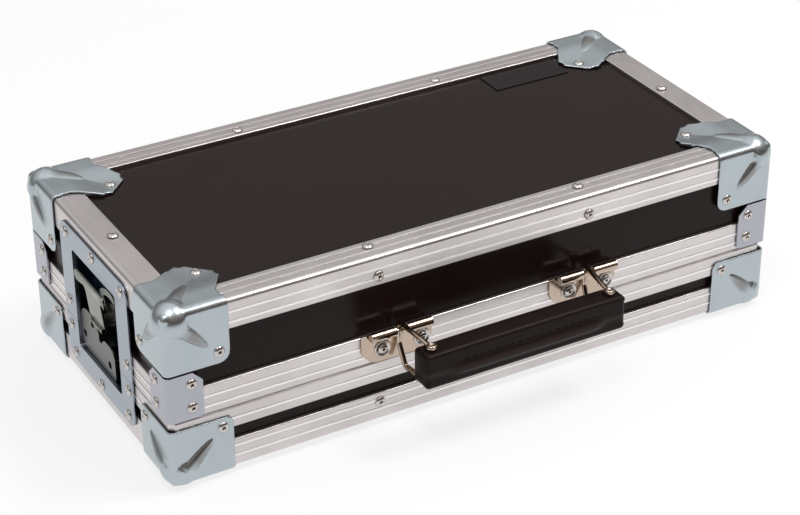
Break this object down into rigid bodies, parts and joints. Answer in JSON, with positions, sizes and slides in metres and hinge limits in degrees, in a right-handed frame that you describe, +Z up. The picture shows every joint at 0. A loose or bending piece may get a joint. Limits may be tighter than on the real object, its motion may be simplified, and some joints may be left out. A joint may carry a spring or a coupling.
{
  "type": "guitar pedal case",
  "caption": "Flight case for guitar pedals: shallow base and lift-off lid of black laminate panels in aluminium edges, ball corners, recessed turning latches and a swing handle.",
  "frame": {"origin": "middle of the outer face of the bottom panel", "axes": "+X along the case, +Y from the handle side to the back, +Z up"},
  "size_m": [0.49, 0.284, 0.14],
  "materials": {
    "rivet_steel": "zinc plated, domed",
    "laminated_plywood": "plywood faced with black laminate",
    "edge_aluminium": "satin anodised extrusion",
    "corner_zinc": "zinc plated pressing, glossy",
    "bracket_zinc": "zinc plated sheet",
    "dish_zinc": "zinc plated pressing",
    "latch_nickel": "nickel plated",
    "handle_nickel": "nickel plated",
    "grip_skin": "soft stitched leathercloth over a hard core",
    "plate_black": "blank, matt",
    "floor_fabric": "looped pile"
  },
  "bodies": {
    "base": {"base_back_panel": "laminated_plywood", "base_bottom_panel": "laminated_plywood", "base_corner_back_left": "corner_zinc", "base_corner_back_right": "corner_zinc", "base_corner_front_left": "corner_zinc", "base_corner_front_right": "corner_zinc", "base_edge_back": "edge_aluminium", "base_edge_front": "edge_aluminium", "base_edge_left": "edge_aluminium", "base_edge_right": "edge_aluminium", "base_floor_pad": "floor_fabric", "base_front_panel": "laminated_plywood", "base_left_panel": "laminated_plywood", "base_right_panel": "laminated_plywood", "base_rim_back": "edge_aluminium", "base_rim_front": "edge_aluminium", "base_rim_left": "edge_aluminium", "base_rim_right": "edge_aluminium", "base_rivets": "rivet_steel", "keeper_dish_left": "dish_zinc", "keeper_dish_right": "dish_zinc", "keeper_plate_left": "latch_nickel", "keeper_plate_right": "latch_nickel"},
    "handle": {"handle_grip": "grip_skin", "handle_rings": "handle_nickel", "handle_grip_pins": "handle_nickel"},
    "rotor_left": {"latch_rotor_left": "latch_nickel", "wing_pin_left": "latch_nickel"},
    "wing_left": {"latch_wing_left": "latch_nickel"},
    "rotor_right": {"latch_rotor_right": "latch_nickel", "wing_pin_right": "latch_nickel"},
    "wing_right": {"latch_wing_right": "latch_nickel"},
    "lid": {"handle_bracket_left": "handle_nickel", "handle_bracket_right": "handle_nickel", "handle_hinge_pins": "handle_nickel", "latch_dish_left": "dish_zinc", "latch_dish_right": "dish_zinc", "lid_back_panel": "laminated_plywood", "lid_bracket_back_left": "bracket_zinc", "lid_bracket_back_right": "bracket_zinc", "lid_bracket_front_left": "bracket_zinc", "lid_bracket_front_right": "bracket_zinc", "lid_corner_back_left": "corner_zinc", "lid_corner_back_right": "corner_zinc", "lid_corner_front_left": "corner_zinc", "lid_corner_front_right": "corner_zinc", "lid_edge_back": "edge_aluminium", "lid_edge_front": "edge_aluminium", "lid_edge_left": "edge_aluminium", "lid_edge_right": "edge_aluminium", "lid_front_panel": "laminated_plywood", "lid_left_panel": "laminated_plywood", "lid_right_panel": "laminated_plywood", "lid_rim_back": "edge_aluminium", "lid_rim_front": "edge_aluminium", "lid_rim_left": "edge_aluminium", "lid_rim_right": "edge_aluminium", "lid_rivets": "rivet_steel", "lid_top_panel": "laminated_plywood", "name_plate": "plate_black"}
  },
  "joints": [
    {"name": "lid_lift", "type": "slide", "parent": "base", "child": "lid", "axis": [0, 0, 1], "range_m": [0, 0.12]},
    {"name": "handle_swing", "type": "hinge", "parent": "lid", "child": "handle", "pos_m": [0.0039, -0.1217, 0.0707], "axis": [-1, 0, 0], "range_deg": [0, 80]},
    {"name": "latch_turn_left", "type": "hinge", "parent": "lid", "child": "rotor_left", "pos_m": [-0.24, 0, 0.0615], "axis": [1, 0, 0], "range_deg": [0, 180]},
    {"name": "wing_fold_left", "type": "hinge", "parent": "rotor_left", "child": "wing_left", "pos_m": [-0.24, 0, 0.0615], "axis": [0, -1, 0], "range_deg": [0, 80]},
    {"name": "latch_turn_right", "type": "hinge", "parent": "lid", "child": "rotor_right", "pos_m": [0.24, 0, 0.0615], "axis": [1, 0, 0], "range_deg": [0, 180]},
    {"name": "wing_fold_right", "type": "hinge", "parent": "rotor_right", "child": "wing_right", "pos_m": [0.24, 0, 0.0615], "axis": [0, 1, 0], "range_deg": [0, 80]}
  ]
}
